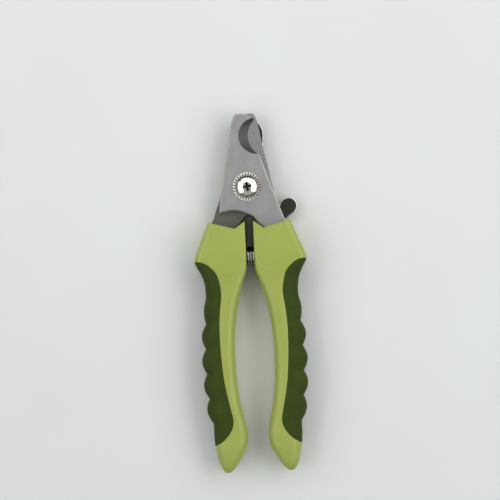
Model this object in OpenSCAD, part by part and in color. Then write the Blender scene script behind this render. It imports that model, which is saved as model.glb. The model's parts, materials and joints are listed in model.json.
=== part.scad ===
// Scissor nail clipper for large dogs, lying closed on its back.
// Two identical blades cross at a screw pivot, and each tang is moulded into a handle on the other side.
// Shapes are drawn about the pivot: +Y to the jaws, +X to the right handle, z = 0 where the blades meet.
// The last step moves them so that the origin is under the middle of the whole tool.

/* [Blades] */
// Distance from the pivot to the top of the hooked jaws
hook_top = 36.6; // [30:0.2:46]
// Thickness of one blade
blade_t = 2.8; // [2:0.1:3.4]
// Gap between the two blades
blade_gap = 0.05; // [0.02:0.01:0.15]
// Distance from the pivot to the lower corner of a blade, across the tool
heel_x = 14.6; // [13:0.1:15.4]
// Distance from the pivot to the lower corner of a blade, along the tool
heel_y = 12.8; // [11.5:0.1:13.4]
// Radius of the nail notch on the outer face
notch_r = 9.1; // [7:0.1:9.6]
// Distance from the pivot to the middle of the nail notch
notch_y = 25.3; // [20:0.1:27]
// Radius of the sharp edge where the blades meet
edge_r = 11.3; // [9.5:0.1:12]
// Length of the tang inside the handle, from the pivot
tang_end = 62; // [50:1:75]
// Radius of the holes that lock the tang in its handle
lock_hole_r = 1.6; // [1:0.1:1.8]

/* [Pivot] */
// Radius of the sleeve that the blades turn on
sleeve_r = 3.5; // [3:0.1:4.5]
// Radius of the screw's shank
shank_r = 2.5; // [2:0.1:2.9]
// Radius of the screw's head
head_r = 5.5; // [4.8:0.1:6]
// Height of the screw's domed head
head_h = 2.4; // [1.5:0.1:3]
// Radius over the teeth of the star washer
star_r = 7.2; // [6.5:0.1:8]
// Thickness of the star washer
star_t = 0.9; // [0.6:0.1:1.2]
// Number of teeth on the star washer
star_teeth = 28; // [16:2:32]
// Thickness of the shim between the rear blade and the safety stop
shim_t = 0.4; // [0.2:0.1:0.6]
// Thickness of the wave washer's space
wave_t = 0.7; // [0.5:0.1:0.9]
// Width of the nut across its flats
nut_flats = 10; // [8:0.5:12]
// Height of the nut
nut_t = 2.2; // [1.6:0.1:2.4]
// Radial running clearance on the pivot
run_fit = 0.05; // [0.02:0.01:0.1]

/* [Safety stop] */
// Thickness of the stop plate
stop_t = 1.2; // [0.8:0.1:1.4]
// Radius of the stop's thumb tab
tab_r = 4.15; // [3.5:0.05:4.4]
// Distance across the tool from the pivot to the thumb tab
tab_x = 20.5; // [19:0.1:22]
// Distance along the tool from the pivot to the thumb tab
tab_y = 10.5; // [9.5:0.1:10.6]
// Radius of the stop's outer edge behind the jaws
paddle_r = 12.6; // [11:0.1:13]

/* [Handles] */
// Distance from the pivot to the end of a handle
handle_end = 143.2; // [125:0.2:175]
// Thickness of a handle
handle_t = 16.4; // [16.2:0.1:20]
// Half of the gap between the collars
gap_half = 2; // [1.6:0.1:2.6]
// Distance from the pivot to a collar's outer corner, along the tool
collar_top = 17.2; // [16.6:0.1:19]
// Distance from the pivot to the bottom of the collar's notch
collar_notch = 21; // [20.6:0.1:23]
// Half width of the tool over the collars' top corners
collar_w = 20.6; // [19.8:0.1:22]
// Distance from the pivot to the widest point of the collars
flare_at = 36.8; // [33:0.2:40]
// Half width of the tool at the widest point
flare_w = 28.7; // [26.5:0.1:31]
// How far the widest point is rounded off
flare_round = 0.8; // [0:0.1:1.2]
// Width of the softest edge rounding on the grip side
round_out = 6.4; // [4:0.1:7]
// Width of the edge rounding on the inner side
round_in = 4.6; // [2:0.1:5]

/* [Grips] */
// Number of finger bumps
bump_count = 5; // [3:1:6]
// Distance from one finger bump to the next
bump_pitch = 12.5; // [10:0.1:14]
// Height of a finger bump
bump_h = 2.3; // [0:0.1:3]
// Distance from the handle's end to the first finger bump
bump_from_end = 24.9; // [22:0.1:30]

/* [Spring] */
// Distance from the pivot to the spring
spring_at = 35.1; // [33:0.1:38]
// Outer radius of the spring
spring_r = 4.5; // [3.7:0.05:4.8]
// Radius of the spring wire
wire_r = 0.55; // [0.4:0.05:0.6]
// Number of turns in the spring
spring_turns = 8; // [5:1:8]
// Depth of the spring socket in each collar
socket_depth = 4; // [3:0.1:4.4]
// Radial clearance round the spring in its socket
socket_fit = 0.5; // [0.3:0.1:0.8]

/* [Fits] */
// Fit of parts that are moulded or pressed together
press_fit = 0.03; // [0.02:0.01:0.06]

/* [Hidden] */

// Levels of the stack on the pivot, from the front of the blades to the back of the nut
front_z = blade_gap / 2 + blade_t;
rear_z = -front_z;
shim_z = rear_z - run_fit - shim_t;
stop_top = shim_z - run_fit;
stop_z = stop_top - stop_t;
wave_z = stop_z - wave_t;
nut_z = wave_z - nut_t;

// The frame's origin is under the middle of the tool
mid_y = (handle_end - hook_top) / 2;
half_t = handle_t / 2;

// Handles run from the flare to the end: a curve's points give the share of that run and the distance
// from the tool's centre line
run = handle_end - flare_at;
function along(share) = -flare_at - share * run;
waist_x = flare_w - 5.5;
inner_curve = [[0, gap_half + 0.1], [0.045, gap_half + 0.2], [0.06, gap_half + 0.6], [0.12, 4.8], [0.21, 7.3], [0.3, 8.9],
               [0.4, 9.8], [0.5, 9.8], [0.6, 9.2], [0.69, 7.9], [0.78, 5.8], [0.83, 5.1], [0.88, 6],
               [0.93, 8.6], [0.965, 11], [0.99, 13.2], [1, 14.9]];
outer_curve = [[0, flare_w], [0.035, flare_w - 2.2], [0.065, flare_w - 3.8], [0.1, waist_x + 0.4],
               [0.15, waist_x], [0.2, waist_x + 0.2], [0.3, waist_x + 0.6], [0.41, waist_x + 1.1],
               [0.52, waist_x + 1.2], [0.64, waist_x + 0.5], [0.77, waist_x - 1], [0.83, waist_x - 1],
               [0.88, waist_x - 1.5], [0.93, waist_x - 2.5], [0.965, waist_x - 3.6], [0.99, waist_x - 5.1],
               [1, waist_x - 6.4]];
// The grip's border with the core, from the flare to its tip
border_curve = [[0, flare_w], [0.007, flare_w - 5.1], [0.027, flare_w - 8.4], [0.05, flare_w - 10.7],
                [0.08, flare_w - 12.1], [0.15, waist_x - 7.8], [0.25, waist_x - 6.6], [0.34, waist_x - 6.1],
                [0.45, waist_x - 6.4], [0.56, waist_x - 7.3], [0.64, waist_x - 8.7], [0.7, waist_x - 10],
                [0.755, waist_x - 11.1], [0.79, waist_x - 10.4], [0.82, waist_x - 8.5],
                [0.85, waist_x - 5.4], [0.87, waist_x - 1.4]];
grip_tip = 0.87;
thickness_curve = [[0, half_t], [0.6, half_t], [0.8, half_t - 0.5], [0.9, half_t - 1.4],
                   [0.965, half_t - 2.8], [0.99, half_t - 4.2], [1, half_t - 5.4]];

// Smooth curve through points [share, value] at one share
function slope(p, i) =
    i <= 0 ? (p[1][1] - p[0][1]) / (p[1][0] - p[0][0])
    : i >= len(p) - 1 ? (p[i][1] - p[i - 1][1]) / (p[i][0] - p[i - 1][0])
    : (p[i + 1][1] - p[i - 1][1]) / (p[i + 1][0] - p[i - 1][0]);
function span(p, t) = max([for (i = [0 : len(p) - 2]) if (i == 0 || t >= p[i][0]) i]);
function hermite(a, b, ma, mb, w, u) =
    (2 * u^3 - 3 * u^2 + 1) * a + (u^3 - 2 * u^2 + u) * w * ma
    + (3 * u^2 - 2 * u^3) * b + (u^3 - u^2) * w * mb;
function curve(p, t) =
    let (i = span(p, t), w = p[i + 1][0] - p[i][0], u = (t - p[i][0]) / w)
    hermite(p[i][1], p[i + 1][1], slope(p, i), slope(p, i + 1), w, u);

// Smooth outline through plane points, the first and last included
function bend(p, steps) = concat([for (i = [0 : len(p) - 2], s = [0 : steps - 1])
    let (u = s / steps, a = p[max(i - 1, 0)], b = p[i], c = p[i + 1], d = p[min(i + 2, len(p) - 1)])
    0.5 * (2 * b + (c - a) * u + (2 * a - 5 * b + 4 * c - d) * u^2 + (3 * b - a - 3 * c + d) * u^3)],
    [p[len(p) - 1]]);
// The same outline without its last point, where another one follows on
function bend_on(p, steps) = let (q = bend(p, steps)) [for (i = [0 : len(q) - 2]) q[i]];

// Finger bumps: arcs that meet in shallow valleys
first_bump = -handle_end + bump_from_end;
function bump(y) =
    let (n = (y - first_bump) / bump_pitch, last = floor(n) == bump_count - 1)
    n < 0 || n >= bump_count ? 0 : bump_h * (last ? 0.5 : 1) * sin(180 * (n - floor(n)));

// Half-size of a collar below its top edge
collar_side = (flare_w - collar_w) / (flare_at - collar_top);
function flare_soft(y) = flare_round * max(0, 1 - abs(y + flare_at) / 1.8) ^ 2;
function outer_x(y) = (y > -flare_at ? collar_w + (-y - collar_top) * collar_side
    : curve(outer_curve, (-y - flare_at) / run) + bump(y)) - flare_soft(y);
function inner_x(y) = y > -flare_at ? gap_half : max(gap_half, curve(inner_curve, (-y - flare_at) / run));
function blend(y, a, b) = let (u = min(1, max(0, (-y - flare_at + 6) / 26))) a + (b - a) * u * u * (3 - 2 * u);
function corner_out(y) = blend(y, 3.2, round_out);
function corner_in(y) = blend(y, 1, round_in);
grip_lip = 0.5;
function border_x(y) = min(curve(border_curve, (-y - flare_at) / run), outer_x(y) - grip_lip);

// A handle's section at y is a rectangle with soft corners, [inner x, outer x, half thickness, corners]
function section(y) =
    let (share = (-y - flare_at) / run, x1 = inner_x(y), x2 = outer_x(y), w = x2 - x1,
         h = share < 0 ? half_t : min(half_t, curve(thickness_curve, share)),
         r_out = min(corner_out(y), w * 0.42, h * 0.82), r_in = min(corner_in(y), w * 0.4, h * 0.7))
    [x1, x2, h, r_in, r_out];

// Where the upper half of a section lies at u: 0 to 1 round the outer corner, 1 to 2 along the flat,
// 2 to 3 round the inner corner
function rim(s, u) =
    u < 1 ? [s[1] - s[4] + s[4] * cos(90 * u), s[2] - s[4] + s[4] * sin(90 * u)]
    : u < 2 ? [s[1] - s[4] - (s[1] - s[4] - s[0] - s[3]) * (u - 1), s[2]]
    : [s[0] + s[3] - s[3] * sin(90 * (u - 2)), s[2] - s[3] + s[3] * cos(90 * (u - 2))];
function rim_at(s, x) = x > s[1] - s[4] ? acos(min(1, max(0, (x - s[1] + s[4]) / s[4]))) / 90
    : 1 + (s[1] - s[4] - x) / (s[1] - s[4] - s[0] - s[3]);
function steps_to(a, b, n) = [for (i = [0 : n - 1]) a + (b - a) * i / n];

// Places round the upper half of the core (from its border inwards) and of the grip (outwards to it)
function core_rim(s, x, gripped, notch) =
    let (a = gripped ? rim_at(s, x) : 0, b = rim_at(s, notch), m = a < 1 ? 1 : a + 0.3 * (b - a))
    concat(steps_to(a, m, 5), steps_to(m, b, 2), steps_to(b, 2, 2), steps_to(2, 3, 5), [3]);
function grip_rim(s, x) =
    let (b = rim_at(s, x), m = b > 1.05 ? 1 : 0.8 * b)
    concat(steps_to(0, m, 6), steps_to(m, b, 4), [b]);

// Closed skin through rings of equal length: upper points, then the same points mirrored below
function ring(s, rims, y_of, shrink) = concat(
    [for (u = rims) let (p = rim(s, u)) [p[0], y_of(p[0]), p[1] - shrink]],
    [for (i = [len(rims) - 1 : -1 : 0]) let (p = rim(s, rims[i])) [p[0], y_of(p[0]), -p[1] + shrink]]);
module skin(rings) {
    n = len(rings[0]);
    m = n / 2;
    last = (len(rings) - 1) * n;
    polyhedron(
        points = [for (r = rings) each r],
        faces = concat(
            [for (k = [0 : len(rings) - 2], i = [0 : n - 1]) let (j = (i + 1) % n, a = k * n)
                each [[a + i, a + j, a + n + i], [a + j, a + n + j, a + n + i]]],
            [for (i = [0 : m - 2]) each [[i, n - 1 - i, i + 1], [i + 1, n - 1 - i, n - 2 - i]]],
            [for (i = [0 : m - 2])
                each [[last + i, last + i + 1, last + n - 1 - i],
                      [last + i + 1, last + n - 2 - i, last + n - 1 - i]]]),
        convexity = 8);
}

// Middle of the collar's notch, and the collar's top edge over it
notch_x = 7.2;
function top_edge(x) = x < notch_x
    ? -collar_notch + (notch_x - x) * (collar_notch - collar_top) / (notch_x - gap_half)
    : -collar_notch + (x - notch_x) * (collar_notch - collar_top) / (collar_w - notch_x);

// Stations along a handle
edge_break = 0.5;
collar_below = collar_notch + 2;
grip_first = 0.002;
upper_shares = [0.006, 0.014, 0.027, 0.045, 0.065, 0.09, 0.12, 0.155];
bump_shares = [for (i = [0 : bump_count * 5]) (bump_from_end + bump_pitch * (bump_count - i / 5))];
bump_ys = [for (b = bump_shares) -handle_end + b];
lower_shares = [0.79, 0.81, 0.83, 0.85, 0.862, grip_tip];
heel_shares = [0.89, 0.91, 0.93, 0.95, 0.965, 0.98, 0.99, 0.996, 1];
function keep(ys, from, to) = [for (y = ys) if (y < from - 0.3 && y > to + 0.3) y];
grip_ys = concat([along(grip_first)], [for (f = upper_shares) along(f)],
    keep(bump_ys, along(0.155), along(0.79)), [for (f = lower_shares) along(f)]);
heel_ys = [for (f = heel_shares) along(f)];
collar_ys = [-collar_below, -collar_below - 4, -spring_at + 3, -flare_at + 1.6, -flare_at + 0.7, -flare_at];

function middle_x(y) = let (u = min(1, max(0, (-y - collar_below) / 20)))
    notch_x + u * ((inner_x(y) + border_x(max(along(grip_tip), min(along(grip_first), y)))) / 2 - notch_x);

module handle_core_skin() {
    top = section(-collar_top - 0.1);
    cap = [gap_half + edge_break / 2, collar_w - edge_break / 2, top[2] - edge_break, top[3], top[4]];
    brim = [gap_half, collar_w + 0.1, top[2], top[3], top[4]];
    skin(concat(
        [ring(cap, core_rim(cap, 0, false, notch_x), function (x) top_edge(x), 0)],
        [ring(brim, core_rim(brim, 0, false, notch_x), function (x) top_edge(x) - edge_break, 0)],
        [for (y = collar_ys) let (s = section(y))
            ring(s, core_rim(s, 0, false, middle_x(y)), function (x) y, 0)],
        [for (y = grip_ys) let (s = section(y))
            ring(s, core_rim(s, border_x(y), true, middle_x(y)), function (x) y, 0)],
        [for (y = heel_ys) let (s = section(y), m = (s[0] + s[3] + s[1] - s[4]) / 2)
            ring(s, core_rim(s, 0, false, m), function (x) y, 0)]));
}

module handle_grip_skin() {
    skin([for (y = grip_ys) let (s = section(y)) ring(s, grip_rim(s, border_x(y)), function (x) y, 0)]);
}

// One blade's outline, seen on its outer face: the jaw is on the left and the tang on the right
hook_x = 5.6;
tang_out = [[17.9, -16.4], [19, -19.8], [17.4, -32], [15.2, -50], [14.4, -tang_end]];
tang_in = [[11.2, -tang_end], [9.8, -48], [8.7, -34], [notch_x + 0.9, -collar_notch - 3]];
left_side = [[-heel_x, -heel_y], [-13.4, -4], [-12.1, 3], [-10.4, 12], [-8.9, 19], [-7.6, 27],
             [-6.5, hook_top - 4], [-5.3, hook_top - 1]];
hook = [[-5.3, hook_top - 1], [-4.2, hook_top], [-1, hook_top], [2, hook_top - 1], [hook_x, hook_top - 3.4]];
right_side = [[6.6, notch_y - 9], [8.2, 11.5], [10, 6.5], [12.4, -0.9], [14.7, -7.5], [16.4, -12.2], [17.9, -16.4]];
lower_side = [[notch_x, -collar_notch + 0.4], [4.6, -18.2], [2.4, -15.6], [0, -13.9], [-3.5, -12.4],
              [-7.3, -11.7], [-11, -12.1], [-heel_x, -heel_y]];

module blade_outline() {
    polygon(concat(bend_on(left_side, 4), bend(hook, 4), bend_on(right_side, 4),
        bend(tang_out, 3), bend(tang_in, 3), bend_on(lower_side, 4)));
}

lock_holes = [[13.2, -36], [12.9, -54]];
// How much further right the middle of the sharp edge lies than the middle of the notch
notch_x_mid = 5.8;
bevel_shift = edge_r - notch_r + 4.8;

module blade() {
    translate([0, 0, blade_gap / 2])
        difference() {
            linear_extrude(blade_t) blade_outline();
            translate([0, 0, -1]) cylinder(r = sleeve_r + run_fit, h = blade_t + 2, $fn = 64);
            for (p = lock_holes)
                translate([p[0], p[1], -1]) cylinder(r = lock_hole_r, h = blade_t + 2, $fn = 48);
            hull() {
                translate([notch_x_mid, notch_y, blade_t - 0.01]) cylinder(r = notch_r, h = 0.02, $fn = 96);
                translate([notch_x_mid + bevel_shift, notch_y, -0.01]) cylinder(r = edge_r, h = 0.02, $fn = 96);
            }
        }
}

// The same piece, turned over onto the other side of the tool
module other_side() {
    rotate([0, 180, 0]) children();
}

module hub_disc(r, h) {
    difference() {
        cylinder(r = r, h = h, $fn = 64);
        translate([0, 0, -1]) cylinder(r = sleeve_r + run_fit, h = h + 2, $fn = 64);
    }
}

module place() {
    translate([0, mid_y, half_t]) children();
}

module front_blade() {
    color("#9a9a98") place() blade();
}

module rear_blade() {
    color("#7e7e7c") place() other_side() blade();
}

// Thumb tab at the right, hub on the pivot, and paddle behind the jaws
hub_r = 8.5;
stop_paddle = [[8.2, 2], [8.1, 9], [8.4, 16], [-3.4 + paddle_r, notch_y - 1], [-3.6 + paddle_r, notch_y + 3],
               [7.3, notch_y + 6.6], [4.6, notch_y + 8.6], [0.6, notch_y + 9], [-3, notch_y + 6.6],
               [-4.8, notch_y + 1], [-5.4, 16], [-6.4, 9], [-8.2, 2]];
stop_neck = [[0, -hub_r], [10, -10], [17.4, -collar_top + 0.8], [18.7, -collar_top + 0.4],
             [tab_x + 2.7, -tab_y - 3.1], [tab_x, -tab_y], [tab_x - 4, -tab_y + 0.6], [13.2, -8.2], [hub_r, 0]];

module safety_stop() {
    color("#26261f") place() translate([0, 0, stop_z])
        difference() {
            linear_extrude(stop_t) union() {
                circle(r = hub_r, $fn = 64);
                translate([tab_x, -tab_y]) circle(r = tab_r, $fn = 64);
                polygon(stop_neck);
                polygon(bend(stop_paddle, 4));
            }
            translate([0, 0, -1]) cylinder(r = sleeve_r + run_fit, h = stop_t + 2, $fn = 64);
        }
}

module stop_shim() {
    color("#b9a77a") place() translate([0, 0, shim_z]) hub_disc(7, shim_t);
}

module pivot_sleeve() {
    color("#8c8c8a") place() translate([0, 0, wave_z])
        difference() {
            cylinder(r = sleeve_r, h = front_z - wave_z, $fn = 64);
            translate([0, 0, -1]) cylinder(r = shank_r + press_fit, h = front_z - wave_z + 2, $fn = 64);
        }
}

// Domed head with a cross recess, and a shank that runs through to the nut
dome_r = (head_r^2 + head_h^2) / (2 * head_h);
recess_w = 1.1;
recess_len = 5.4;
recess_d = 1.8;

module pivot_screw() {
    head_z = front_z + star_t;
    color("#d8d6cc") place() union() {
        translate([0, 0, nut_z]) cylinder(r = shank_r, h = head_z - nut_z + 0.5, $fn = 64);
        translate([0, 0, head_z]) difference() {
            intersection() {
                cylinder(r = head_r, h = head_h, $fn = 96);
                translate([0, 0, head_h - dome_r]) sphere(r = dome_r, $fn = 96);
            }
            for (a = [0, 90])
                rotate([0, 0, a]) translate([-recess_len / 2, -recess_w / 2, head_h - recess_d])
                    cube([recess_len, recess_w, recess_d + 1]);
        }
    }
}

// External-tooth lock washer: a ring with twisted teeth
module star_lock_washer() {
    tooth_len = 1.5;
    color("#cfcfca") place() translate([0, 0, front_z])
        difference() {
            union() {
                translate([0, 0, star_t * 0.25]) cylinder(r = star_r - tooth_len + 0.3, h = star_t * 0.5, $fn = 96);
                for (i = [0 : star_teeth - 1])
                    rotate([0, 0, i * 360 / star_teeth])
                        translate([star_r - tooth_len, -0.42, star_t * 0.22])
                            rotate([12, 0, 0]) cube([tooth_len, 0.84, star_t * 0.4]);
            }
            translate([0, 0, -1]) cylinder(r = shank_r + press_fit, h = star_t + 2, $fn = 64);
        }
}

// Sprung washer that gives the stop its friction
module wave_washer() {
    waves = 3;
    steps = 48;
    thick = 0.3;
    lift = (wave_t - thick - run_fit) / 2;
    inner = sleeve_r + 0.2;
    outer = 6.4;
    corners = [for (k = [0 : steps - 1]) let (a = 360 * k / steps, z = lift * (1 + cos(waves * a)))
        each [[inner * cos(a), inner * sin(a), z], [outer * cos(a), outer * sin(a), z],
              [outer * cos(a), outer * sin(a), z + thick], [inner * cos(a), inner * sin(a), z + thick]]];
    sides = [for (k = [0 : steps - 1], i = [0 : 3])
        let (a = 4 * k, b = 4 * ((k + 1) % steps), j = (i + 1) % 4)
        each [[a + i, a + j, b + i], [a + j, b + j, b + i]]];
    color("#8c8c8a") place() translate([0, 0, wave_z]) polyhedron(points = corners, faces = sides);
}

module pivot_nut() {
    color("#b4b4b0") place() translate([0, 0, nut_z])
        difference() {
            intersection() {
                cylinder(d = nut_flats / cos(30), h = nut_t, $fn = 6);
                translate([0, 0, nut_t / 2]) sphere(r = nut_flats * 0.6, $fn = 64);
            }
            translate([0, 0, -1]) cylinder(r = shank_r + press_fit, h = nut_t + 2, $fn = 64);
        }
}

// Slot for a tang, with plugs of plastic through the tang's holes
module tang_slot() {
    difference() {
        translate([0, 0, blade_gap / 2 - press_fit]) linear_extrude(blade_t + 2 * press_fit)
            polygon(concat([[notch_x - press_fit, -collar_notch + 0.4], [notch_x + 1, -collar_top]],
                [for (p = bend(tang_out, 3)) p + [press_fit, 0]],
                [tang_out[4] + [press_fit, -press_fit], tang_in[0] - [press_fit, press_fit]],
                [for (p = bend(tang_in, 3)) p - [press_fit, 0]]));
        for (p = lock_holes)
            translate([p[0], p[1], 0]) cylinder(r = lock_hole_r - press_fit, h = blade_t + 1, $fn = 48);
    }
}

peg_head_r = spring_r - 2 * wire_r - 0.4;
peg_head_t = 1.8;
peg_shank_r = 1.4;
peg_shank_len = 1.8;
socket_floor = gap_half + socket_depth;
buffer_at = 25;
buffer_pin_r = 1.4;
buffer_pin_len = 3.4;

module handle_core(with_buffer) {
    difference() {
        handle_core_skin();
        tang_slot();
        translate([gap_half - 1, -spring_at, 0]) rotate([0, 90, 0])
            cylinder(r = spring_r + socket_fit, h = socket_depth + 1, $fn = 64);
        translate([socket_floor - 1, -spring_at, 0]) rotate([0, 90, 0])
            cylinder(r = peg_shank_r + press_fit, h = peg_shank_len + 1, $fn = 48);
        if (with_buffer)
            translate([gap_half - 1, -buffer_at, 0]) rotate([0, 90, 0])
                cylinder(r = buffer_pin_r + press_fit, h = buffer_pin_len + 1 + press_fit, $fn = 48);
    }
}

module right_handle_core() {
    color("#a9b45e") place() handle_core(true);
}

module left_handle_core() {
    color("#a9b45e") place() other_side() handle_core(false);
}

module right_grip() {
    color("#3d4a24") place() handle_grip_skin();
}

module left_grip() {
    color("#3d4a24") place() other_side() handle_grip_skin();
}

// Peg that keeps the spring's end in its socket
module spring_peg() {
    translate([socket_floor - peg_head_t, -spring_at, 0]) rotate([0, 90, 0]) union() {
        cylinder(r = peg_head_r, h = peg_head_t, $fn = 64);
        cylinder(r = peg_shank_r, h = peg_head_t + peg_shank_len, $fn = 48);
    }
}

module right_spring_peg() {
    color("#9a9a98") place() spring_peg();
}

module left_spring_peg() {
    color("#9a9a98") place() other_side() spring_peg();
}

// Compression spring across the gap between the handles
module return_spring() {
    sides = 8;
    per_turn = 20;
    count = spring_turns * per_turn;
    length = 2 * (socket_floor - wire_r - 0.05);
    coil_r = spring_r - wire_r;
    function centre(k) = let (a = 360 * k / per_turn)
        [-length / 2 + length * k / count, -spring_at + coil_r * cos(a), coil_r * sin(a)];
    function round_wire(k) = let (a = 360 * k / per_turn, c = centre(k))
        [for (i = [0 : sides - 1]) let (b = 360 * i / sides)
            c + wire_r * [sin(b), cos(b) * cos(a), cos(b) * sin(a)]];
    wire = [for (k = [0 : count]) each round_wire(k)];
    skin_faces = [for (k = [0 : count - 1], i = [0 : sides - 1])
        let (j = (i + 1) % sides, a = k * sides, b = a + sides)
        each [[a + i, b + i, a + j], [a + j, b + i, b + j]]];
    color("#c4c6c8") place() polyhedron(points = wire,
        faces = concat(skin_faces, [[for (i = [0 : sides - 1]) i]],
            [[for (i = [sides - 1 : -1 : 0]) count * sides + i]]), convexity = 10);
}

// Black stop between the collars: a wedge under the blades, a stem in the gap and a pin into the right collar
module closing_buffer() {
    depth = 12;
    free = 0.35;
    buffer_end = spring_at - spring_r - 0.4;
    color("#23231e") place() union() {
        translate([0, 0, -depth / 2]) linear_extrude(depth)
            polygon([[0, -collar_top + 2.3], [1.5, -collar_top + 1.2], [2.1, -collar_top + 0.4],
                     [gap_half - 0.2, -collar_top], [gap_half, -collar_top - 1], [gap_half, -buffer_end],
                     [-gap_half + free, -buffer_end], [-gap_half + free, -collar_top],
                     [-2.2, -collar_top + 0.3], [-1.5, -collar_top + 1.2]]);
        translate([gap_half - 0.5, -buffer_at, 0]) rotate([0, 90, 0])
            cylinder(r = buffer_pin_r, h = buffer_pin_len + 0.5, $fn = 48);
    }
}

front_blade();
rear_blade();
safety_stop();
stop_shim();
pivot_sleeve();
pivot_screw();
star_lock_washer();
wave_washer();
pivot_nut();
right_handle_core();
right_grip();
left_handle_core();
left_grip();
return_spring();
right_spring_peg();
left_spring_peg();
closing_buffer();
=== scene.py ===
import json
import math
import bmesh
import bpy
from mathutils import Matrix, Vector


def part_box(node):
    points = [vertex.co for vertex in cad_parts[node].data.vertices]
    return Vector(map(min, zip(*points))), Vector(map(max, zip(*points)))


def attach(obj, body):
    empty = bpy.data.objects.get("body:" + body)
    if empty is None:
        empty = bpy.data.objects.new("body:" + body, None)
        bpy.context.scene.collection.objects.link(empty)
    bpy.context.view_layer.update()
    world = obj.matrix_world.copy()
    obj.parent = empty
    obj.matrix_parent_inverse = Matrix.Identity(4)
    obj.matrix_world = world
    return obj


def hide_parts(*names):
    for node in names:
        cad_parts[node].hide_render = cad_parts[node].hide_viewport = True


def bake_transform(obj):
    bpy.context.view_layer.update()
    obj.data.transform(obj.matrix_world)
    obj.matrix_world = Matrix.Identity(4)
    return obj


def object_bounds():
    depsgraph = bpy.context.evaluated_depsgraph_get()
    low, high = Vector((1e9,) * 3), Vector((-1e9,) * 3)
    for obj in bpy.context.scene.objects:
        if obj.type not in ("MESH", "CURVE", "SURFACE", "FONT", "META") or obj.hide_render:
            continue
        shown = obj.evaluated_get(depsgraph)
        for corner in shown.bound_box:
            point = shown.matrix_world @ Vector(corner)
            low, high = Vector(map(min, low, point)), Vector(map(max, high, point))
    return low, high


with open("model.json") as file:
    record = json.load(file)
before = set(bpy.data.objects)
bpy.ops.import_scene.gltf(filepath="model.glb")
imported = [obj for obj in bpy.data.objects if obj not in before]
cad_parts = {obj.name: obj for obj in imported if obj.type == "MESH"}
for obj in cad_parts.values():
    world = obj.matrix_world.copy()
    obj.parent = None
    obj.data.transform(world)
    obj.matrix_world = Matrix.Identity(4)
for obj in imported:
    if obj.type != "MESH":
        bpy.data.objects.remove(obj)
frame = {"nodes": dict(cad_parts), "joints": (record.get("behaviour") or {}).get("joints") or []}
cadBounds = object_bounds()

mm = 0.001
pivot = Vector(frame["joints"][0]["pos_m"])  # the screw's axis, level with the gap between the blades


def srgb(hexCode):  # sRGB hex to linear, with alpha
    parts = [int(hexCode[i:i + 2], 16) / 255 for i in (0, 2, 4)]
    return tuple(p / 12.92 if p <= 0.04045 else ((p + 0.055) / 1.055) ** 2.4 for p in parts) + (1.0,)


def addNode(tree, kind, values=None, links=None, **settings):  # a node with its values, links and settings
    node = tree.nodes.new(kind)
    for name, value in settings.items():
        setattr(node, name, value)
    for name, value in (values or {}).items():
        node.inputs[name].default_value = value
    for name, source in (links or {}).items():
        tree.links.new(source, node.inputs[name])
    return node


def newMaterial(name, values):
    mat = bpy.data.materials.new(name)
    mat.use_nodes = True
    shader = mat.node_tree.nodes["Principled BSDF"]
    for key, value in values.items():
        shader.inputs[key].default_value = value
    return mat, mat.node_tree, shader


def rampBetween(tree, source, low, high, start=0.0, end=1.0):  # two colours along a value
    ramp = addNode(tree, "ShaderNodeValToRGB", links={"Fac": source})
    first, last = ramp.color_ramp.elements
    first.position, last.position = start, end
    first.color, last.color = low, high
    return ramp.outputs["Color"]


# sizes in these dictionaries are in millimetres and angles in degrees
# the tangShade values paint shade onto the rear blade's tang: a darker tone and less metal, fading out towards the
# pivot
steel = {"tone": "c2c2c0", "toneDark": "b0b0af", "tangShade": "a0a096", "tangShadeMetal": 0.4, "tangShadeBelow": 11,
         "tangShadeFadeAbove": 4, "grain": 0.12, "grainLength": 9, "cloud": 7, "roughness": (0.36, 0.5)}


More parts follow.
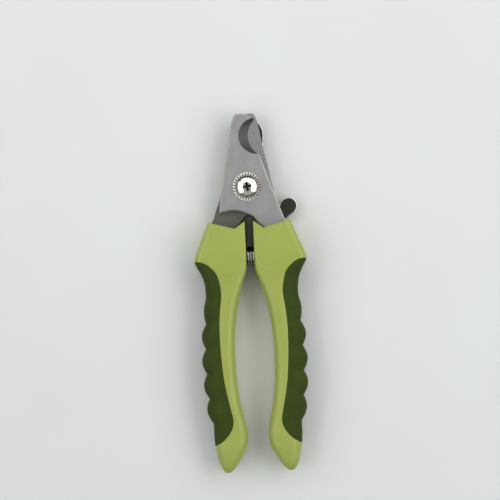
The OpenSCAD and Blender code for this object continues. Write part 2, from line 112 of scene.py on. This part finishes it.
def groundStainless(name, along, light=steel["tone"], dark=steel["toneDark"], paintedTangShade=False, lean=0, metal=1.0):
    # 420 stainless, blanked and then ground on a belt: fine straight scratches, cloudy satin, no mirror
    mat, tree, shader = newMaterial(name, {"Metallic": metal, "Roughness": 0.42})
    coords = addNode(tree, "ShaderNodeTexCoord")
    stretch = [1 / (steel["grain"] * mm)] * 3  # belt grit lines, drawn about 0.12 mm apart
    stretch[along] = 1 / (steel["grainLength"] * mm)
    turn = addNode(tree, "ShaderNodeMapping", {"Rotation": (0, 0, math.radians(lean))},
                   {"Vector": coords.outputs["Object"]})
    scale = addNode(tree, "ShaderNodeMapping", {"Scale": stretch}, {"Vector": turn.outputs["Vector"]})
    lines = addNode(tree, "ShaderNodeTexNoise", {"Scale": 1.0, "Detail": 2.0},
                    {"Vector": scale.outputs["Vector"]})
    clouds = addNode(tree, "ShaderNodeTexNoise", {"Scale": 1 / (steel["cloud"] * mm), "Detail": 4.0,
                                                  "Roughness": 0.6}, {"Vector": coords.outputs["Object"]})
    total = addNode(tree, "ShaderNodeMath", links={0: lines.outputs["Fac"], 1: clouds.outputs["Fac"]})
    average = addNode(tree, "ShaderNodeMath", {1: 0.5}, {0: total.outputs[0]}, operation="MULTIPLY")
    tone = rampBetween(tree, average.outputs[0], srgb(dark), srgb(light), 0.35, 0.65)
    if paintedTangShade:  # painted shade: the tang end is painted darker and less metallic for the shadow the front blade casts on it, fading into the ground face
        place = addNode(tree, "ShaderNodeSeparateXYZ", links={"Vector": coords.outputs["Object"]})
        fade = addNode(tree, "ShaderNodeMapRange", {"From Min": pivot.y - steel["tangShadeBelow"] * mm,
                                                    "From Max": pivot.y + steel["tangShadeFadeAbove"] * mm,
                                                    "To Min": 1.0, "To Max": 0.0}, {"Value": place.outputs["Y"]})
        mixed = addNode(tree, "ShaderNodeMix", data_type="RGBA", blend_type="MULTIPLY")
        mixed.inputs[7].default_value = srgb(steel["tangShade"])
        tree.links.new(fade.outputs["Result"], mixed.inputs[0])
        tree.links.new(tone, mixed.inputs[6])
        tone = mixed.outputs[2]
        skin = addNode(tree, "ShaderNodeMapRange", {"To Min": 1.0, "To Max": steel["tangShadeMetal"]},
                       {"Value": fade.outputs["Result"]})
        tree.links.new(skin.outputs["Result"], shader.inputs["Metallic"])
    tree.links.new(tone, shader.inputs["Base Color"])
    rough = addNode(tree, "ShaderNodeMapRange", {"To Min": steel["roughness"][0], "To Max": steel["roughness"][1]},
                    {"Value": lines.outputs["Fac"]})
    tree.links.new(rough.outputs["Result"], shader.inputs["Roughness"])
    bump = addNode(tree, "ShaderNodeBump", {"Strength": 0.25, "Distance": 0.01 * mm},
                   {"Height": lines.outputs["Fac"]})
    tree.links.new(bump.outputs["Normal"], shader.inputs["Normal"])
    return mat


def hollowGroundShade(name):
    # the same steel where the wheel has cut the hollow bevel, painted darker as painted shade for the bevel's dark
    # reflection, with marks across the edge
    return groundStainless(name, 2, "4f4f4c", "42423f", metal=0.4)


def nickelPlate(name):
    # bright nickel on a cold-headed screw: a warm mirror, a little soft from barrel plating
    mat, tree, shader = newMaterial(name, {"Metallic": 1.0, "Roughness": 0.16})
    coords = addNode(tree, "ShaderNodeTexCoord")
    haze = addNode(tree, "ShaderNodeTexNoise", {"Scale": 1 / (1.6 * mm), "Detail": 3.0},
                   {"Vector": coords.outputs["Object"]})
    tree.links.new(rampBetween(tree, haze.outputs["Fac"], srgb("e6e1d4"), srgb("f4f1e8"), 0.3, 0.7),
                   shader.inputs["Base Color"])
    rough = addNode(tree, "ShaderNodeMapRange", {"To Min": 0.1, "To Max": 0.26}, {"Value": haze.outputs["Fac"]})
    tree.links.new(rough.outputs["Result"], shader.inputs["Roughness"])
    return mat


def platedSteel(name, tone="b9bab8", rough=(0.22, 0.36)):
    # zinc-plated and drawn steel, bright steel as a painted highlight on the stop's rim, and dark grey as painted
    # shade down in the recess: one grey with a faint mottle
    mat, tree, shader = newMaterial(name, {"Metallic": 1.0, "Roughness": rough[0]})
    coords = addNode(tree, "ShaderNodeTexCoord")
    mottle = addNode(tree, "ShaderNodeTexNoise", {"Scale": 1 / (0.9 * mm), "Detail": 3.0},
                     {"Vector": coords.outputs["Object"]})
    light = srgb(tone)
    dark = tuple(c * 0.78 for c in light[:3]) + (1.0,)
    tree.links.new(rampBetween(tree, mottle.outputs["Fac"], dark, light, 0.3, 0.65), shader.inputs["Base Color"])
    spread = addNode(tree, "ShaderNodeMapRange", {"To Min": rough[0], "To Max": rough[1]},
                     {"Value": mottle.outputs["Fac"]})
    tree.links.new(spread.outputs["Result"], shader.inputs["Roughness"])
    return mat


def rolledBrass(name):
    # half-hard brass shim stock: warm, with fine rolling lines
    mat, tree, shader = newMaterial(name, {"Metallic": 1.0, "Roughness": 0.3})
    coords = addNode(tree, "ShaderNodeTexCoord")
    scale = addNode(tree, "ShaderNodeMapping", {"Scale": (1 / (6 * mm), 1 / (0.15 * mm), 1 / (0.15 * mm))},
                    {"Vector": coords.outputs["Object"]})
    lines = addNode(tree, "ShaderNodeTexNoise", {"Scale": 1.0, "Detail": 2.0}, {"Vector": scale.outputs["Vector"]})
    tree.links.new(rampBetween(tree, lines.outputs["Fac"], srgb("a98a4a"), srgb("c9ab66"), 0.3, 0.7),
                   shader.inputs["Base Color"])
    return mat


def blackCoat(name):
    # black epoxy powder over steel: satin, with a very fine orange peel
    mat, tree, shader = newMaterial(name, {"Roughness": 0.42, "IOR": 1.5})
    coords = addNode(tree, "ShaderNodeTexCoord")
    peel = addNode(tree, "ShaderNodeTexNoise", {"Scale": 1 / (0.45 * mm), "Detail": 2.0},
                   {"Vector": coords.outputs["Object"]})
    tree.links.new(rampBetween(tree, peel.outputs["Fac"], srgb("1f2019"), srgb("292a22"), 0.3, 0.7),
                   shader.inputs["Base Color"])
    bump = addNode(tree, "ShaderNodeBump", {"Strength": 0.2, "Distance": 0.02 * mm},
                   {"Height": peel.outputs["Fac"]})
    tree.links.new(bump.outputs["Normal"], shader.inputs["Normal"])
    return mat


def blackNylon(name):
    # moulded nylon 66: matte black with a slight bloom
    mat, tree, shader = newMaterial(name, {"Roughness": 0.6, "IOR": 1.53})
    coords = addNode(tree, "ShaderNodeTexCoord")
    bloom = addNode(tree, "ShaderNodeTexNoise", {"Scale": 1 / (1.2 * mm), "Detail": 4.0},
                    {"Vector": coords.outputs["Object"]})
    tree.links.new(rampBetween(tree, bloom.outputs["Fac"], srgb("161612"), srgb("22221c"), 0.3, 0.7),
                   shader.inputs["Base Color"])
    return mat


lime = {"tone": "a2ad54", "deep": "9ca74e", "speck": 0.35, "roughness": (0.3, 0.4)}


def limePlastic(name):
    # polypropylene, moulded in a spark-finished tool: soft satin, even colour, a very fine speckle
    mat, tree, shader = newMaterial(name, {"Roughness": 0.34, "IOR": 1.49})
    coords = addNode(tree, "ShaderNodeTexCoord")
    flow = addNode(tree, "ShaderNodeTexNoise", {"Scale": 1 / (18 * mm), "Detail": 2.0},
                   {"Vector": coords.outputs["Object"]})
    speck = addNode(tree, "ShaderNodeTexNoise", {"Scale": 1 / (lime["speck"] * mm), "Detail": 2.0},
                    {"Vector": coords.outputs["Object"]})
    tree.links.new(rampBetween(tree, flow.outputs["Fac"], srgb(lime["deep"]), srgb(lime["tone"]), 0.3, 0.7),
                   shader.inputs["Base Color"])
    rough = addNode(tree, "ShaderNodeMapRange", {"To Min": lime["roughness"][0], "To Max": lime["roughness"][1]},
                    {"Value": speck.outputs["Fac"]})
    tree.links.new(rough.outputs["Result"], shader.inputs["Roughness"])
    bump = addNode(tree, "ShaderNodeBump", {"Strength": 0.18, "Distance": 0.012 * mm},
                   {"Height": speck.outputs["Fac"]})
    tree.links.new(bump.outputs["Normal"], shader.inputs["Normal"])
    return mat


grip = {"tone": "354212", "worn": "3c4916", "grain": 0.5, "roughness": (0.55, 0.72)}


def gripRubber(name):
    # thermoplastic rubber moulded over the core: matte, a leathery stipple, a little paler where it is rubbed
    mat, tree, shader = newMaterial(name, {"Roughness": 0.62, "Specular IOR Level": 0.14})
    coords = addNode(tree, "ShaderNodeTexCoord")
    stipple = addNode(tree, "ShaderNodeTexVoronoi", {"Scale": 1 / (grip["grain"] * mm)},
                      {"Vector": coords.outputs["Object"]}, feature="SMOOTH_F1")
    rub = addNode(tree, "ShaderNodeTexNoise", {"Scale": 1 / (9 * mm), "Detail": 5.0, "Roughness": 0.65},
                  {"Vector": coords.outputs["Object"]})
    tree.links.new(rampBetween(tree, rub.outputs["Fac"], srgb(grip["tone"]), srgb(grip["worn"]), 0.4, 0.75),
                   shader.inputs["Base Color"])
    rough = addNode(tree, "ShaderNodeMapRange", {"To Min": grip["roughness"][1], "To Max": grip["roughness"][0]},
                    {"Value": rub.outputs["Fac"]})
    tree.links.new(rough.outputs["Result"], shader.inputs["Roughness"])
    bump = addNode(tree, "ShaderNodeBump", {"Strength": 0.3, "Distance": 0.03 * mm},
                   {"Height": stipple.outputs["Distance"]})
    tree.links.new(bump.outputs["Normal"], shader.inputs["Normal"])
    return mat


def sweptFloor(name):
    # matte painted board: pale and even
    mat, tree, shader = newMaterial(name, {"Roughness": 0.8})
    coords = addNode(tree, "ShaderNodeTexCoord")
    tint = addNode(tree, "ShaderNodeTexNoise", {"Scale": 12.0, "Detail": 2.0},
                   {"Vector": coords.outputs["Object"]})
    tree.links.new(rampBetween(tree, tint.outputs["Fac"], srgb("dddfdd"), srgb("dfe2e0"), 0.3, 0.7),
                   shader.inputs["Base Color"])
    return mat


bladeSteel = groundStainless("groundStainlessSteel", 1)
# the rear blade is the same ground steel painted darker as painted shade, and its tang end gets more painted shade
shadedRearSteel = groundStainless("groundStainlessRearShaded", 1, "b2b2b0", "a2a2a1", paintedTangShade=True, lean=-35)
# painted shade: a dark grey for the screw's cross recess and the disc under the washer's teeth, where those
# hollows fall in shade
recessShade = platedSteel("recessPaintedShade", "4a463c", (0.4, 0.6))
bevelShadeSteel = hollowGroundShade("hollowGroundBevelShade")
edgeSteel = platedSteel("breakEdgeSteel", "a19d93", (0.42, 0.52))
# bright steel on the stop's broken rim: a painted highlight along its rounded edge
rimHighlightSteel = platedSteel("stopRimPaintedHighlight", "dcd9cf", (0.28, 0.4))
nickel = nickelPlate("nickelPlate")
zinc = platedSteel("zincPlatedSteel")
toothZinc = platedSteel("zincPlatedTeeth", "dedbd2", (0.34, 0.46))
springWire = platedSteel("drawnSpringSteel", "cfd2d4", (0.16, 0.3))
brass = rolledBrass("rolledBrass")
stopCoat = blackCoat("blackPowderCoat")
nylon = blackNylon("blackNylon")
limeMoulding = limePlastic("limePolypropylene")
rubber = gripRubber("greenGripRubber")
print("materials made")


def finishMesh(bm, name, materials, body, replaced=(), smoothAngle=35, flatTops=False):
    mesh = bpy.data.meshes.new(name)
    bm.to_mesh(mesh)
    bm.free()
    if "custom_normal" in mesh.attributes:  # left over from the CAD mesh's own shading
        mesh.attributes.remove(mesh.attributes["custom_normal"])
    for mat in materials:
        mesh.materials.append(mat)
    for face in mesh.polygons:
        face.use_smooth = True
    piece = bpy.data.objects.new(name, mesh)
    bpy.context.scene.collection.objects.link(piece)
    mesh.set_sharp_from_angle(angle=math.radians(smoothAngle))
    for face in mesh.polygons:  # on sheet pieces the flat faces stay flat, so broken edges don't tint them
        if flatTops and abs(face.normal.z) > 0.999:
            face.use_smooth = False
    if body:
        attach(piece, body)
    if replaced:
        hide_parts(*replaced)
    return piece


def copyOf(node):  # a CAD node's surface, with its loose triangles joined
    bm = bmesh.new()
    bm.from_mesh(frame["nodes"][node].data)
    bmesh.ops.remove_doubles(bm, verts=bm.verts, dist=0.0005 * mm)
    bmesh.ops.dissolve_degenerate(bm, dist=0.0005 * mm, edges=bm.edges)
    return bm


def flatten(bm, degrees=0.5):  # joins the triangles of each flat face
    bmesh.ops.dissolve_limit(bm, angle_limit=math.radians(degrees), verts=bm.verts, edges=bm.edges,
                             use_dissolve_boundaries=False)


def breakEdges(bm, edges, width, segments, materialIndex=None):
    made = bmesh.ops.bevel(bm, geom=edges, offset=width, offset_type="OFFSET", affect="EDGES", segments=segments,
                           profile=0.5, material=-1, clamp_overlap=False)
    if materialIndex is not None:
        for face in made["faces"]:
            face.material_index = materialIndex
    return made["faces"]


def rimEdges(bm, level, tolerance=0.02 * mm, keep=lambda middle: True):  # edges round a flat face at one height
    found = []
    for edge in bm.edges:
        if all(abs(v.co.z - level) < tolerance for v in edge.verts) and len(edge.link_faces) == 2:
            middle = (edge.verts[0].co + edge.verts[1].co) / 2
            if edge.calc_face_angle(0) > math.radians(40) and keep(middle):
                found.append(edge)
    return found


blades = {"slopeWidth": 0.62, "slopeDrop": 0.36, "notchMiddle": (5.8, 25.3), "notchReach": 9.6, "bevelReach": 13,
          "holeClear": 5}


def makeBlade(node, body, side, faceSteel):  # side is 1 for the front blade and -1 for the one turned over
    bm = copyOf(node)
    flatten(bm)
    low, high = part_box(node)
    outer = high[2] if side > 0 else low[2]
    centre = pivot + Vector((side * blades["notchMiddle"][0], blades["notchMiddle"][1], 0)) * mm
    reach = blades["notchReach"] * mm

    def awayFromNotch(p):
        fromHole = (p - pivot).to_2d().length
        return math.hypot(p.x - centre.x, p.y - centre.y) > reach and fromHole > blades["holeClear"] * mm

    rim = rimEdges(bm, outer, keep=awayFromNotch)
    width = blades["slopeWidth"] * mm
    breakEdges(bm, rim, width, 1, 1)
    for v in bm.verts:  # lays the chamfer down to a shallow ground slope
        depth = abs(v.co.z - outer)
        if 0 < depth < width * 1.01 and awayFromNotch(v.co):
            v.co.z = outer - side * depth * blades["slopeDrop"]
    for face in bm.faces:
        middle = face.calc_center_median()
        slanted = 0.15 < abs(face.normal.z) < 0.9
        near = math.hypot(middle.x - centre.x, middle.y - centre.y) < blades["bevelReach"] * mm
        if slanted and near and face.material_index == 0:
            face.material_index = 2  # the hollow-ground cutting bevel, which takes the painted shade
    return finishMesh(bm, node.split("_")[0] + "Blade", (faceSteel, edgeSteel, bevelShadeSteel), body,
                      (node,), 30, True)


makeBlade("front_blade", "front_half", 1, bladeSteel)
makeBlade("rear_blade", "rear_half", -1, shadedRearSteel)
print("blades made")


stop = {"rim": 0.22, "holeClear": 5}


def makeStop():
    bm = copyOf("safety_stop")
    flatten(bm)
    low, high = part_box("safety_stop")
    for level in (high[2], low[2]):
        rim = rimEdges(bm, level, keep=lambda p: (p - pivot).to_2d().length > stop["holeClear"] * mm)
        # the rim faces take the painted highlight
        breakEdges(bm, rim, stop["rim"] * mm, 2, 1)
    return finishMesh(bm, "safetyStop", (stopCoat, rimHighlightSteel), "stop", ("safety_stop",), 30, True)


makeStop()
print("safety stop made")


handles = {"groove": 0.2, "sharp": 50, "grooveFrom": 6.5, "grooveTo": 4.5, "crease": 24, "softness": 2,
           "shading": 40}


def sharpEdges(bm, degrees):
    return [e for e in bm.edges if len(e.link_faces) == 2 and e.calc_face_angle(0) > math.radians(degrees)]


def keepSharp(bm, degrees):  # creases, so that the softened skin keeps its edges
    crease = bm.edges.layers.float.new("crease_edge")
    for edge in sharpEdges(bm, degrees):
        edge[crease] = 1.0


def soften(piece, levels):
    skin = piece.modifiers.new("softSkin", "SUBSURF")
    skin.levels = skin.render_levels = levels


def placeKey(v):  # a point's rounded place, so that the core's lip is found where the grip's seam runs
    return tuple(round(c / (0.01 * mm)) for c in v.co)


def inQuads(node):  # four-sided faces, which subdivide evenly
    bm = copyOf(node)
    bmesh.ops.join_triangles(bm, faces=bm.faces, angle_face_threshold=math.radians(25),
                             angle_shape_threshold=math.radians(120))
    return bm


def makeHandle(side, body):  # core and grip, with a fine parting groove where the rubber meets the plastic
    gripMesh = inQuads(side + "_grip")
    low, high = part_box(side + "_grip")
    top, bottom = high[1] - handles["grooveFrom"] * mm, low[1] + handles["grooveTo"] * mm
    seam = [e for e in sharpEdges(gripMesh, handles["sharp"]) if all(bottom < v.co.y < top for v in e.verts)]
    seamPoints = {placeKey(v) for e in seam for v in e.verts}
    breakEdges(gripMesh, seam, handles["groove"] * mm, 2)
    keepSharp(gripMesh, handles["crease"])
    skin = finishMesh(gripMesh, side + "Grip", (rubber,), body, (side + "_grip",),
                      handles["shading"])
    soften(skin, handles["softness"])
    coreMesh = inQuads(side + "_handle_core")
    lips = [e for e in sharpEdges(coreMesh, handles["sharp"]) if all(placeKey(v) in seamPoints for v in e.verts)]
    breakEdges(coreMesh, lips, handles["groove"] * mm, 2)
    finishMesh(coreMesh, side + "HandleCore", (limeMoulding,), body, (side + "_handle_core",),
               handles["shading"])


makeHandle("right", "front_half")
makeHandle("left", "rear_half")
print("handles made")


screwHead = {"radius": 5.5, "height": 2.4, "shank": 2.5, "edge": 0.35, "underEdge": 0.15, "segments": 72,
             "rings": 10, "recessLength": 5.0, "recessWidth": 1.3, "recessDepth": 2.0, "lengthTaper": 0.55,
             "widthTaper": 0.8, "recessTurn": 8}


def applyBoolean(piece, cutter, operation):
    cut = piece.modifiers.new("cut", "BOOLEAN")
    cut.object, cut.operation, cut.solver = cutter, operation, "MANIFOLD"
    shape = piece.evaluated_get(bpy.context.evaluated_depsgraph_get())
    mesh = bpy.data.meshes.new_from_object(shape)
    bm = bmesh.new()
    bm.from_mesh(mesh)
    bpy.data.meshes.remove(mesh)
    for thing in (piece, cutter):
        bpy.data.objects.remove(thing, do_unlink=True)
    return bm


def plainObject(bm, name):
    mesh = bpy.data.meshes.new(name)
    bm.to_mesh(mesh)
    bm.free()
    thing = bpy.data.objects.new(name, mesh)
    bpy.context.scene.collection.objects.link(thing)
    return thing


def makeScrew():
    low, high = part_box("pivot_screw")
    r, h = screwHead["radius"] * mm, screwHead["height"] * mm
    shank, under = screwHead["shank"] * mm, screwHead["underEdge"] * mm
    base, edge = high[2] - h, screwHead["edge"] * mm
    domeRadius = (r * r + (h - edge) ** 2) / (2 * (h - edge))
    profile = [(shank, low[2]), (shank, base), (r - under, base), (r, base + under), (r, base + edge)]
    full = math.asin(r / domeRadius)
    for i in range(1, screwHead["rings"]):
        a = full * (1 - i / screwHead["rings"])
        profile.append((domeRadius * math.sin(a), high[2] - domeRadius * (1 - math.cos(a))))
    bm = bmesh.new()
    points = [bm.verts.new((x, 0, z)) for x, z in [(0, low[2])] + profile + [(0, high[2])]]
    line = [bm.edges.new(pair) for pair in zip(points, points[1:])]
    bmesh.ops.spin(bm, geom=points + line, cent=(0, 0, 0), axis=(0, 0, 1), dvec=(0, 0, 0), angle=math.tau,
                   steps=screwHead["segments"], use_merge=True, use_duplicate=False)
    bmesh.ops.remove_doubles(bm, verts=bm.verts, dist=0.001 * mm)
    bmesh.ops.recalc_face_normals(bm, faces=bm.faces)
    bmesh.ops.translate(bm, verts=bm.verts, vec=(pivot.x, pivot.y, 0))
    solid = plainObject(bm, "screwBlank")
    for turn in (0, 90):  # the two slots of the cross recess taper towards their floor
        bm = bmesh.new()
        arm = bmesh.ops.create_cube(bm, size=1.0)["verts"]
        for v in arm:
            upper = v.co.z > 0
            v.co.x *= screwHead["recessLength"] * mm * (1.0 if upper else screwHead["lengthTaper"])
            v.co.y *= screwHead["recessWidth"] * mm * (1.0 if upper else screwHead["widthTaper"])
            v.co.z = high[2] + (0.2 * mm if upper else -screwHead["recessDepth"] * mm)
        bmesh.ops.rotate(bm, verts=arm, cent=(0, 0, 0),
                         matrix=Matrix.Rotation(math.radians(turn + screwHead["recessTurn"]), 3, "Z"))
        bmesh.ops.translate(bm, verts=arm, vec=(pivot.x, pivot.y, 0))
        # the recess walls take the painted shade
        for face in bm.faces:
            face.material_index = 1
        solid = plainObject(applyBoolean(solid, plainObject(bm, "slotCutter"), "DIFFERENCE"), "screwBlank")
    bm = bmesh.new()
    bm.from_mesh(solid.data)
    bpy.data.objects.remove(solid, do_unlink=True)
    return finishMesh(bm, "pivotScrew", (nickel, recessShade), "front_half", ("pivot_screw",), 25)


starWasher = {"outer": 7.2, "inner": 2.6, "root": 5.9, "teeth": 28, "sheet": 0.5, "tipWidth": 1.4,
              "rootWidth": 0.62, "toothSink": 0.15, "toothThin": 0.9, "twist": 16, "segments": 112,
              "shadeRadius": 6.75, "shadeSheet": 0.12, "shadeLift": 0.08, "shadeSides": 64}


def makeStarWasher():
    low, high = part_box("star_lock_washer")
    sheet = starWasher["sheet"] * mm
    half = sheet / 2
    bm = bmesh.new()
    ring = [(starWasher["inner"] * mm, -half), (starWasher["root"] * mm, -half), (starWasher["root"] * mm, half),
            (starWasher["inner"] * mm, half)]
    points = [bm.verts.new((x, 0, z)) for x, z in ring]
    line = [bm.edges.new((points[i], points[(i + 1) % 4])) for i in range(4)]
    bmesh.ops.spin(bm, geom=points + line, cent=(0, 0, 0), axis=(0, 0, 1), dvec=(0, 0, 0), angle=math.tau,
                   steps=starWasher["segments"], use_merge=True, use_duplicate=False)
    bmesh.ops.remove_doubles(bm, verts=bm.verts, dist=0.001 * mm)
    bmesh.ops.recalc_face_normals(bm, faces=bm.faces)
    plate = plainObject(bm, "washerPlate")
    bm = bmesh.new()
    rootX, tipX = (starWasher["root"] - starWasher["toothSink"]) * mm, starWasher["outer"] * mm
    for i in range(starWasher["teeth"]):  # each tooth widens outwards and is twisted, so its corners bite
        tooth = bmesh.ops.create_cube(bm, size=1.0)["verts"]
        for v in tooth:
            wide = starWasher["tipWidth"] if v.co.x > 0 else starWasher["rootWidth"]
            turn = math.radians(starWasher["twist"]) if v.co.x > 0 else 0
            y, z = v.co.y * wide * mm, v.co.z * sheet * starWasher["toothThin"]
            v.co = (tipX if v.co.x > 0 else rootX, y * math.cos(turn) - z * math.sin(turn),
                    y * math.sin(turn) + z * math.cos(turn))
        bmesh.ops.rotate(bm, verts=tooth, cent=(0, 0, 0),
                         matrix=Matrix.Rotation(math.tau * i / starWasher["teeth"], 3, "Z"))
    bmesh.ops.triangulate(bm, faces=bm.faces)
    bm = applyBoolean(plate, plainObject(bm, "washerTeeth"), "UNION")
    before = set(bm.faces)  # painted shade: a dark disc under the teeth, where the gaps between them fall in shade
    shadeRadius, lift = starWasher["shadeRadius"] * mm, (low[2] - high[2]) / 2 + starWasher["shadeLift"] * mm
    bmesh.ops.create_cone(bm, cap_ends=True, segments=starWasher["shadeSides"], radius1=shadeRadius, radius2=shadeRadius,
                          depth=starWasher["shadeSheet"] * mm, matrix=Matrix.Translation((0, 0, lift)))
    for face in set(bm.faces) - before:
        face.material_index = 1
    bmesh.ops.translate(bm, verts=bm.verts, vec=(pivot.x, pivot.y, (low[2] + high[2]) / 2))
    return finishMesh(bm, "starLockWasher", (toothZinc, recessShade), "front_half",
                      ("star_lock_washer",), 25)


def makeNut():
    return finishMesh(copyOf("pivot_nut"), "pivotNut", (zinc,), "front_half", ("pivot_nut",), 25)


makeScrew()
makeStarWasher()
makeNut()
for node, mat in (("pivot_sleeve", zinc), ("wave_washer", zinc), ("stop_shim", brass),
                  ("right_spring_peg", zinc), ("left_spring_peg", zinc)):
    for slot in frame["nodes"][node].material_slots:
        slot.material = mat
print("pivot made")


spring = {"outerRadius": 4.5, "wireRadius": 0.55, "turns": 8, "stepsPerTurn": 36, "wireSides": 12, "held": 0.6}


def makeSpring():
    low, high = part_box("return_spring")
    axis = Vector(((low[0] + high[0]) / 2, (low[1] + high[1]) / 2, (low[2] + high[2]) / 2))
    wire = spring["wireRadius"] * mm
    length = high[0] - low[0] - 2 * wire
    steps = spring["turns"] * spring["stepsPerTurn"]
    bm = bmesh.new()
    ring = bmesh.ops.create_circle(bm, segments=spring["wireSides"], radius=wire, cap_ends=False)["verts"]
    middle = Vector((axis.x - length / 2, axis.y + spring["outerRadius"] * mm - wire, axis.z))
    bmesh.ops.translate(bm, verts=ring, vec=middle)
    bmesh.ops.spin(bm, geom=ring + bm.edges[:], cent=axis, axis=(1, 0, 0), dvec=(length / steps, 0, 0),
                   angle=math.tau * spring["turns"], steps=steps, use_merge=False, use_duplicate=False)
    bmesh.ops.holes_fill(bm, edges=[e for e in bm.edges if len(e.link_faces) == 1], sides=spring["wireSides"])
    bmesh.ops.recalc_face_normals(bm, faces=bm.faces)
    piece = finishMesh(bm, "returnSpring", (springWire,), None, ("return_spring",), 40)
    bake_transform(piece)
    return piece


buffer = {"edge": 0.3}


def makeBuffer():
    bm = copyOf("closing_buffer")
    flatten(bm)
    low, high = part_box("closing_buffer")
    breakEdges(bm, rimEdges(bm, high[2]) + rimEdges(bm, low[2]), buffer["edge"] * mm, 2)
    return finishMesh(bm, "closingBuffer", (nylon,), "front_half", ("closing_buffer",), 30)


makeSpring()
makeBuffer()
print("spring and buffer made")


# the studio is in metres
studio = {"floorSize": 3.0, "fieldWidth": 0.2515, "distance": 1.25, "aim": (0.0, 0.0214), "roll": 2.62,
          "zenith": 0.34, "horizon": 0.04, "lightAim": (0.0, 0.02, 0.0)}
softboxes = {"leftBox": {"place": (-0.78, 0.0, 0.7), "size": (1.5, 0.7), "power": 5.6},
             "rightBox": {"place": (0.78, 0.1, 0.7), "size": (1.5, 0.7), "power": 7.5},
             "headBox": {"place": (0.0, 0.55, 0.5), "size": (1.0, 0.4), "power": 2.0},
             "footBox": {"place": (0.0, -0.85, 0.75), "size": (1.2, 0.5), "power": 0.4}}


def makeStage():
    bm = bmesh.new()
    bmesh.ops.create_grid(bm, x_segments=1, y_segments=1, size=studio["floorSize"] / 2)
    floor = plainObject(bm, "floor")
    floor.data.materials.append(sweptFloor("paleFloor"))
    floor.location.z = cadBounds[0][2] - 0.1 * mm
    world = bpy.data.worlds.new("studioAir")
    bpy.context.scene.world = world
    world.use_nodes = True
    tree = world.node_tree
    background = tree.nodes["Background"]
    background.inputs["Color"].default_value = (0.96, 0.98, 1.0, 1.0)
    coords = addNode(tree, "ShaderNodeTexCoord")
    place = addNode(tree, "ShaderNodeSeparateXYZ", links={"Vector": coords.outputs["Generated"]})
    fade = addNode(tree, "ShaderNodeMapRange", {"From Min": 0.25, "From Max": 0.9, "To Min": studio["horizon"],
                                                "To Max": studio["zenith"]}, {"Value": place.outputs["Z"]})
    tree.links.new(fade.outputs["Result"], background.inputs["Strength"])


def addSoftbox(name, place, size, power):
    lamp = bpy.data.lights.new(name, "AREA")
    lamp.shape, lamp.size, lamp.size_y, lamp.energy = "RECTANGLE", size[0], size[1], power
    box = bpy.data.objects.new(name, lamp)
    bpy.context.scene.collection.objects.link(box)
    box.location = place
    box.rotation_euler = (Vector(studio["lightAim"]) - Vector(place)).to_track_quat("-Z", "Y").to_euler()


def makeCamera():
    data = bpy.data.cameras.new("camera")
    data.sensor_width = 36.0
    camera = bpy.data.objects.new("camera", data)
    bpy.context.scene.collection.objects.link(camera)
    target = Vector((studio["aim"][0], studio["aim"][1], pivot.z))
    data.lens = data.sensor_width * studio["distance"] / studio["fieldWidth"]
    camera.location = target + Vector((0, 0, studio["distance"]))
    camera.rotation_euler = (0, 0, -math.radians(studio["roll"]))  # looks straight down, a little turned
    data.clip_start, data.clip_end = 0.05, 20.0
    bpy.context.scene.camera = camera


makeStage()
for name, light in softboxes.items():
    addSoftbox(name, **light)
makeCamera()
bpy.context.scene.view_settings.view_transform = "Standard"
print("stage made")
